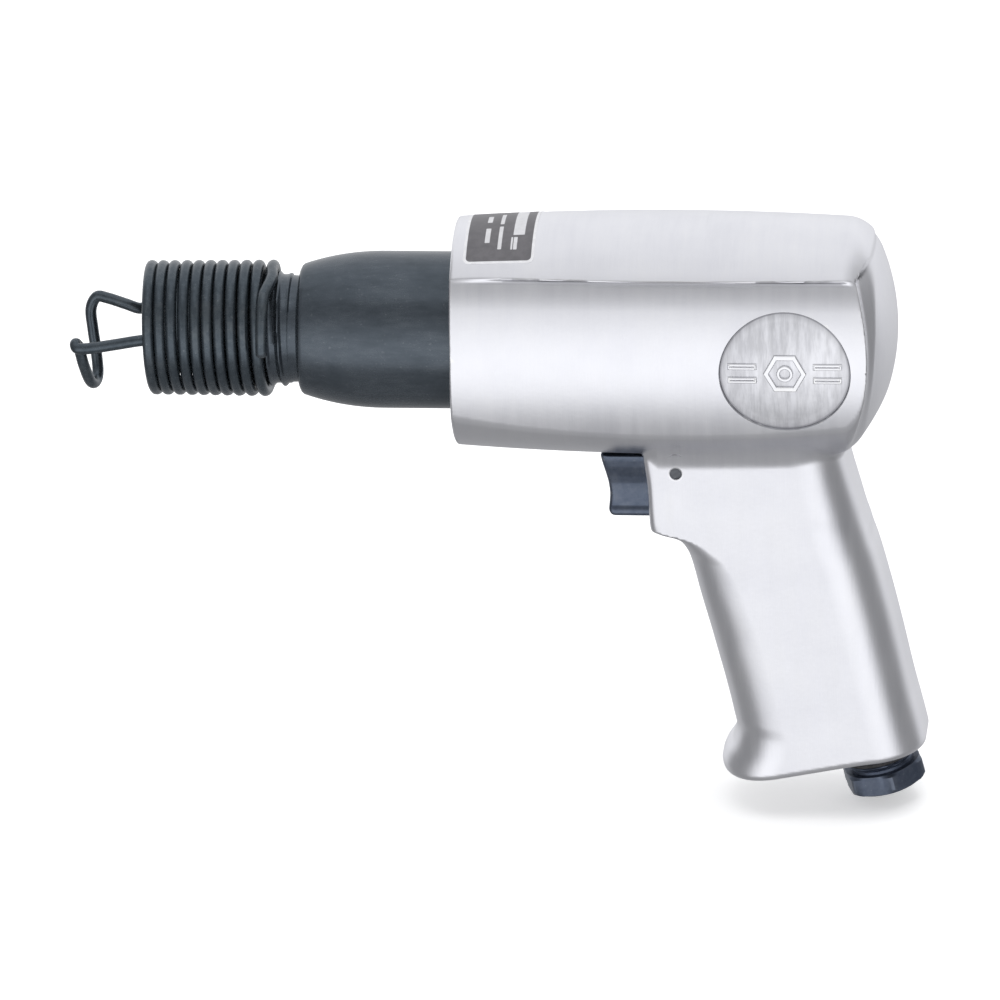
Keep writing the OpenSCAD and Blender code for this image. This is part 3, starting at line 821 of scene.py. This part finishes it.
def stretched(nt, scale):
    c = nt.nodes.new("ShaderNodeTexCoord")
    m = node(nt, "ShaderNodeMapping", Scale=scale)
    nt.links.new(c.outputs["Object"], m.inputs["Vector"])
    return m.outputs["Vector"]


def ramp(nt, fac, stops):
    r = nt.nodes.new("ShaderNodeValToRGB")
    while len(r.color_ramp.elements) < len(stops):
        r.color_ramp.elements.new(0.5)
    for e, (p, c) in zip(r.color_ramp.elements, stops):
        e.position = p
        e.color = (c, c, c, 1) if isinstance(c, (int, float)) else tuple(c) + (1,)
    nt.links.new(fac, r.inputs["Fac"])
    return r.outputs["Color"]


def mix(nt, fac, a, b, blend="MIX"):
    m = nt.nodes.new("ShaderNodeMix")
    m.data_type, m.blend_type = "RGBA", blend
    for sock, v in ((m.inputs["Factor"], fac), (m.inputs["A"], a), (m.inputs["B"], b)):
        if isinstance(v, bpy.types.NodeSocket):
            nt.links.new(v, sock)
        else:
            sock.default_value = v if isinstance(v, float) else (tuple(v) + (1,))
    return m.outputs["Result"]


def math_node(nt, op, a, b=0.0, c=0.0, clamp=False):
    m = nt.nodes.new("ShaderNodeMath")
    m.operation, m.use_clamp = op, clamp
    for sock, v in zip(m.inputs, (a, b, c)):
        if isinstance(v, bpy.types.NodeSocket):
            nt.links.new(v, sock)
        else:
            sock.default_value = v
    return m.outputs["Value"]


def length(nt, a, b):
    squares = math_node(nt, "ADD", math_node(nt, "MULTIPLY", a, a), math_node(nt, "MULTIPLY", b, b))
    return math_node(nt, "SQRT", squares)


def bump(nt, bsdf, height, strength, distance):
    b = node(nt, "ShaderNodeBump", Strength=strength, Distance=distance)
    nt.links.new(height, b.inputs["Height"])
    nt.links.new(b.outputs["Normal"], bsdf.inputs["Normal"])


def edge_wear(nt, lo=0.52, hi=0.62):
    g = nt.nodes.new("ShaderNodeNewGeometry")
    return ramp(nt, g.outputs["Pointiness"], [(lo, 0.0), (hi, 1.0)])


# Painted shade: a mask that is high in concave creases, where the casting's colour is darkened to stand in for
# the shade that falls there.
def painted_crease_shade(nt, lo=0.455, hi=0.494):
    g = nt.nodes.new("ShaderNodeNewGeometry")
    return ramp(nt, g.outputs["Pointiness"], [(lo, 0.85), (hi, 0.0)])


def badge_mask(nt):
    """1 over the round badges on both sides of the housing, 0 elsewhere."""
    c = nt.nodes.new("ShaderNodeTexCoord")
    sep = nt.nodes.new("ShaderNodeSeparateXYZ")
    nt.links.new(c.outputs["Object"], sep.inputs["Vector"])
    dx = math_node(nt, "SUBTRACT", sep.outputs["X"], BADGE[0] * MM)
    dz = math_node(nt, "DIVIDE", math_node(nt, "SUBTRACT", sep.outputs["Z"], BADGE[1] * MM), BADGE[2])
    return math_node(nt, "DIVIDE", math_node(nt, "SUBTRACT", 0.0163, length(nt, dx, dz)), 0.0005, clamp=True)


def cast_aluminium(name, badge):
    m, nt, b = material(name)
    b.inputs["Metallic"].default_value = 1.0
    grain = noise(nt, stretched(nt, (2600, 160, 160)), 1.0, 3.0, 0.6)
    streak = noise(nt, stretched(nt, (420, 40, 40)), 1.0, 4.0, 0.6)
    cloud = noise(nt, stretched(nt, (55, 55, 55)), 1.0, 4.0, 0.6)
    pit = noise(nt, stretched(nt, (900, 900, 900)), 1.0, 2.0, 0.5)
    tone = math_node(nt, "ADD", math_node(nt, "MULTIPLY", streak, 0.45), math_node(nt, "MULTIPLY", cloud, 0.55))
    base = ramp(nt, tone, [(0.32, (0.825, 0.828, 0.868)), (0.5, (0.872, 0.875, 0.91)),
                           (0.68, (0.91, 0.912, 0.94))])
    wear = edge_wear(nt)
    base = mix(nt, wear, base, (0.96, 0.96, 0.965))
    # Painted shade: concave creases, such as the fillet under the cap's edge, are darkened towards dark grey.
    base = mix(nt, painted_crease_shade(nt), base, (0.2, 0.2, 0.22))
    if badge:
        brushed = noise(nt, stretched(nt, (700, 60, 110)), 1.0, 4.0, 0.65)
        blotch = math_node(nt, "MULTIPLY_ADD", brushed, 0.6, math_node(nt, "MULTIPLY", cloud, 0.4))
        worn = ramp(nt, blotch, [(0.38, 0.66), (0.6, 0.93)])
        base = mix(nt, badge_mask(nt), base, mix(nt, 1.0, base, worn, "MULTIPLY"))
    nt.links.new(base, b.inputs["Base Color"])
    rough = math_node(nt, "MULTIPLY_ADD", streak, 0.16, 0.21)
    rough = math_node(nt, "MULTIPLY_ADD", grain, 0.06, rough)
    nt.links.new(rough, b.inputs["Roughness"])
    h = math_node(nt, "MULTIPLY_ADD", grain, 0.5, math_node(nt, "MULTIPLY", pit, 0.35))
    h = math_node(nt, "MULTIPLY_ADD", cloud, 1.4, h)
    bump(nt, b, h, 0.35, 0.00009)
    return m


def dark_steel(name, low, mid, high, rough_lo, rough_hi, grain_scale, metallic=0.85):
    m, nt, b = material(name)
    b.inputs["Metallic"].default_value = metallic
    wear_color = (0.3, 0.32, 0.34)
    fine = noise(nt, stretched(nt, grain_scale), 1.0, 4.0, 0.65)
    cloud = noise(nt, stretched(nt, (90, 90, 90)), 1.0, 4.0, 0.6)
    speck = noise(nt, stretched(nt, (1500, 1500, 1500)), 1.0, 1.0, 0.5)
    tone = math_node(nt, "ADD", math_node(nt, "MULTIPLY", fine, 0.5), math_node(nt, "MULTIPLY", cloud, 0.5))
    base = ramp(nt, tone, [(0.34, low), (0.5, mid), (0.66, high)])
    spots = ramp(nt, speck, [(0.69, 0.0), (0.76, 1.0)])
    base = mix(nt, math_node(nt, "MULTIPLY", spots, 0.25), base, wear_color)
    base = mix(nt, math_node(nt, "MULTIPLY", edge_wear(nt, 0.54, 0.66), 0.55), base, wear_color)
    nt.links.new(base, b.inputs["Base Color"])
    r = math_node(nt, "MULTIPLY_ADD", tone, rough_hi - rough_lo, rough_lo)
    nt.links.new(r, b.inputs["Roughness"])
    bump(nt, b, math_node(nt, "ADD", fine, math_node(nt, "MULTIPLY", speck, 0.4)), 0.3, 0.00006)
    return m


def plain_metal(name, color, rough, scale=(300, 300, 300)):
    m, nt, b = material(name)
    b.inputs["Metallic"].default_value = 1.0
    n = noise(nt, stretched(nt, scale), 1.0, 4.0, 0.6)
    dark = tuple(c * 0.82 for c in color)
    base = ramp(nt, n, [(0.35, dark), (0.65, color)])
    base = mix(nt, math_node(nt, "MULTIPLY", edge_wear(nt), 0.5), base, tuple(min(1, c * 1.25) for c in color))
    nt.links.new(base, b.inputs["Base Color"])
    nt.links.new(math_node(nt, "MULTIPLY_ADD", n, 0.2, rough - 0.1), b.inputs["Roughness"])
    bump(nt, b, n, 0.25, 0.00005)
    return m


def rubber():
    m, nt, b = material("black_rubber")
    n = noise(nt, stretched(nt, (700, 700, 700)), 1.0, 3.0)
    base = ramp(nt, n, [(0.35, (0.016, 0.016, 0.017)), (0.65, (0.032, 0.032, 0.034))])
    nt.links.new(base, b.inputs["Base Color"])
    nt.links.new(math_node(nt, "MULTIPLY_ADD", n, 0.25, 0.5), b.inputs["Roughness"])
    bump(nt, b, n, 0.3, 0.00008)
    return m


def plate_material():
    """Dark printed foil with a light border, six plain bars and a pale panel. No lettering."""
    m, nt, b = material("name_plate_print")
    at = nt.nodes.new("ShaderNodeAttribute")
    at.attribute_name = "plate"
    sep = nt.nodes.new("ShaderNodeSeparateXYZ")
    nt.links.new(at.outputs["Vector"], sep.inputs["Vector"])
    x, s = sep.outputs["X"], sep.outputs["Y"]

    def past_edge(value, centre, half):
        distance = math_node(nt, "ABSOLUTE", math_node(nt, "SUBTRACT", value, centre))
        return math_node(nt, "MAXIMUM", math_node(nt, "SUBTRACT", distance, half), 0.0)

    def box_mask(cx, cs, hx, hs, r=0.0, soft=0.12):
        d = length(nt, past_edge(x, cx, hx - r), past_edge(s, cs, hs - r))
        return math_node(nt, "DIVIDE", math_node(nt, "SUBTRACT", r + soft, d), soft, clamp=True)

    field = box_mask(0, 0, 8.1, 15.6, 1.1)
    marks = None
    for cx, cs, hx, hs in ((-3.2, -6.4, 0.55, 3.0), (0.0, -7.2, 0.42, 4.6), (0.0, 2.4, 0.42, 3.6),
                           (3.9, -9.8, 0.4, 2.2), (3.0, -9.8, 0.16, 2.2),
                           (-3.2, 2.2, 0.55, 2.2), (4.6, 3.0, 1.35, 9.6)):
        mark = box_mask(cx, cs, hx, hs, 0.12)
        marks = mark if marks is None else math_node(nt, "MAXIMUM", marks, mark)
    n = noise(nt, stretched(nt, (500, 500, 500)), 1.0, 4.0)
    foil = ramp(nt, n, [(0.35, (0.74, 0.74, 0.76)), (0.65, (0.84, 0.84, 0.86))])
    ink = ramp(nt, n, [(0.35, (0.125, 0.122, 0.13)), (0.65, (0.155, 0.15, 0.16))])
    light = mix(nt, math_node(nt, "MULTIPLY", marks, 0.85), ink, foil)
    nt.links.new(mix(nt, field, foil, light), b.inputs["Base Color"])
    b.inputs["Metallic"].default_value = 0.25
    nt.links.new(math_node(nt, "MULTIPLY_ADD", n, 0.15, 0.35), b.inputs["Roughness"])
    bump(nt, b, math_node(nt, "MULTIPLY_ADD", field, -0.6, math_node(nt, "MULTIPLY", n, 0.4)), 0.4, 0.00005)
    return m


ALU = cast_aluminium("polished_cast_aluminium", True)
EMBLEM = cast_aluminium("polished_emblem", False)
BARREL = dark_steel("black_oxide_barrel", (0.07, 0.085, 0.1), (0.09, 0.107, 0.126),
                    (0.112, 0.13, 0.15), 0.16, 0.36, (160, 700, 700))
SPRING = dark_steel("black_oiled_wire", (0.06, 0.075, 0.09), (0.082, 0.1, 0.117),
                    (0.12, 0.138, 0.152), 0.18, 0.36, (600, 600, 600))
TRIG = dark_steel("blue_black_trigger", (0.075, 0.095, 0.135), (0.108, 0.13, 0.175),
                  (0.15, 0.172, 0.215), 0.14, 0.3, (500, 500, 500))
INLET_M = dark_steel("blue_black_inlet", (0.08, 0.1, 0.145), (0.11, 0.132, 0.18),
                     (0.14, 0.165, 0.215), 0.28, 0.48, (500, 500, 500))
PIN = dark_steel("black_pin", (0.02, 0.02, 0.028), (0.03, 0.03, 0.04), (0.05, 0.05, 0.06), 0.4, 0.6,
                 (600, 600, 600), 0.6)
GROUND = plain_metal("ground_steel", (0.62, 0.62, 0.64), 0.28, (120, 900, 900))
PLATED = plain_metal("zinc_plated_steel", (0.66, 0.66, 0.62), 0.34)
BRASS = plain_metal("turned_brass", (0.8, 0.6, 0.27), 0.3, (150, 800, 800))
RUBBER = rubber()
PRINT = plate_material()

SLOTS = {"cast_aluminium": ALU, "black_steel": BARREL, "spring_steel": SPRING, "trigger_steel": TRIG,
         "inlet_steel": INLET_M, "pin_steel": PIN, "ground_steel": GROUND, "plated_steel": PLATED,
         "brass": BRASS, "rubber": RUBBER, "name_plate": PRINT}


def paint(ob, mat):
    ob.data.materials.clear()
    ob.data.materials.append(mat)


for entry in frame["record"]["subparts"]:
    paint(NODES[entry["node"]], SLOTS[entry["material_slot"]])
for ob in bpy.context.scene.objects:
    if ob.type == "MESH" and "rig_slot" in ob:
        paint(ob, SLOTS[ob["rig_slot"]])

for ob in emblems:
    paint(ob, EMBLEM)

# ---------------------------------------------------------------- stage, light and camera

FLOOR_Z, FLOOR_HALF = -127, 9000
corners = [(x * FLOOR_HALF, y * FLOOR_HALF, FLOOR_Z) for x, y in ((-1, -1), (1, -1), (1, 1), (-1, 1))]
floor = make("floor", corners, [(0, 1, 2, 3)])
fm, nt, b = material("pale_floor")
mottle = noise(nt, stretched(nt, (3, 3, 3)), 1.0, 2.0)
nt.links.new(ramp(nt, mottle, [(0.3, (0.9, 0.9, 0.9)), (0.7, (0.92, 0.92, 0.92))]), b.inputs["Base Color"])
b.inputs["Roughness"].default_value = 0.9
b.inputs["Emission Color"].default_value = (1, 1, 1, 1)
b.inputs["Emission Strength"].default_value = 0.42
paint(floor, fm)
floor.visible_glossy = False


def build_world():
    """Soft studio surround: bright in front at object height, darker to the sides and below, bright behind."""
    w = bpy.data.worlds.new("studio")
    bpy.context.scene.world = w
    w.use_nodes = True
    nt = w.node_tree
    bg = nt.nodes["Background"]
    tc = nt.nodes.new("ShaderNodeTexCoord")
    sep = nt.nodes.new("ShaderNodeSeparateXYZ")
    nt.links.new(tc.outputs["Generated"], sep.inputs["Vector"])
    x, y, z = sep.outputs
    az = math_node(nt, "DIVIDE", y, math_node(nt, "MAXIMUM", length(nt, x, y), 0.02))
    az = math_node(nt, "MULTIPLY_ADD", az, 0.5, 0.5)
    el = math_node(nt, "MULTIPLY_ADD", z, 0.5, 0.5)
    front = ramp(nt, el, [(0.0, 0.36), (0.117, 0.38), (0.16, 0.42), (0.215, 0.62), (0.265, 1.06), (0.31, 1.22),
                          (0.42, 1.22), (0.52, 1.18), (0.58, 1.05), (0.64, 0.88),
                          (0.735, 0.66), (0.85, 0.4), (0.93, 0.44), (0.98, 0.92)])
    side = ramp(nt, el, [(0.0, 0.3), (0.25, 0.28), (0.6, 0.26), (0.85, 0.42), (0.97, 0.78)])
    back = ramp(nt, el, [(0.0, 0.3), (0.2, 0.45), (0.4, 0.84), (0.7, 0.94), (0.97, 0.9)])
    a = ramp(nt, az, [(0.12, 0.0), (0.3, 1.0)])
    c = ramp(nt, az, [(0.68, 0.0), (0.82, 1.0)])
    col = mix(nt, a, front, side)
    col = mix(nt, c, col, back)
    col = mix(nt, 1.0, col, (0.975, 0.98, 1.0), "MULTIPLY")
    nt.links.new(col, bg.inputs["Color"])
    bg.inputs["Strength"].default_value = 1.0


build_world()


def area(name, at, target, size, power):
    lamp = bpy.data.lights.new(name, "AREA")
    lamp.shape, lamp.size, lamp.energy = "DISK", size, power
    o = bpy.data.objects.new(name, lamp)
    bpy.context.scene.collection.objects.link(o)
    o.location = at
    o.rotation_mode = "QUATERNION"
    o.rotation_quaternion = (Vector(target) - Vector(at)).to_track_quat("-Z", "Y")
    o.visible_glossy = False


area("overhead_soft", (0.1, -0.2, 2.2), (0.08, 0, -0.05), 2.2, 26)

AZ, EL, ROLL = math.radians(6.0), math.radians(24.0), 0.033
DIST = 4.0
right = Vector((math.cos(AZ), math.sin(AZ), 0))
up = Vector((-math.sin(AZ) * math.sin(EL), math.cos(AZ) * math.sin(EL), math.cos(EL)))
back = right.cross(up)
cam_right = right * math.cos(ROLL) - up * math.sin(ROLL)
cam_up = up * math.cos(ROLL) + right * math.sin(ROLL)
cam = bpy.data.cameras.new("camera")
cam.lens, cam.sensor_width = 576.0, 36.0
cam.clip_start, cam.clip_end = 0.1, 50
cam_ob = bpy.data.objects.new("camera", cam)
bpy.context.scene.collection.objects.link(cam_ob)
centre = cam_right * 0.0755 + cam_up * -0.0431
rot = Matrix((cam_right, cam_up, back)).transposed()
cam_ob.matrix_world = Matrix.Translation(centre + back * DIST) @ rot.to_4x4()
bpy.context.scene.camera = cam_ob
bpy.context.scene.view_settings.view_transform = "Standard"
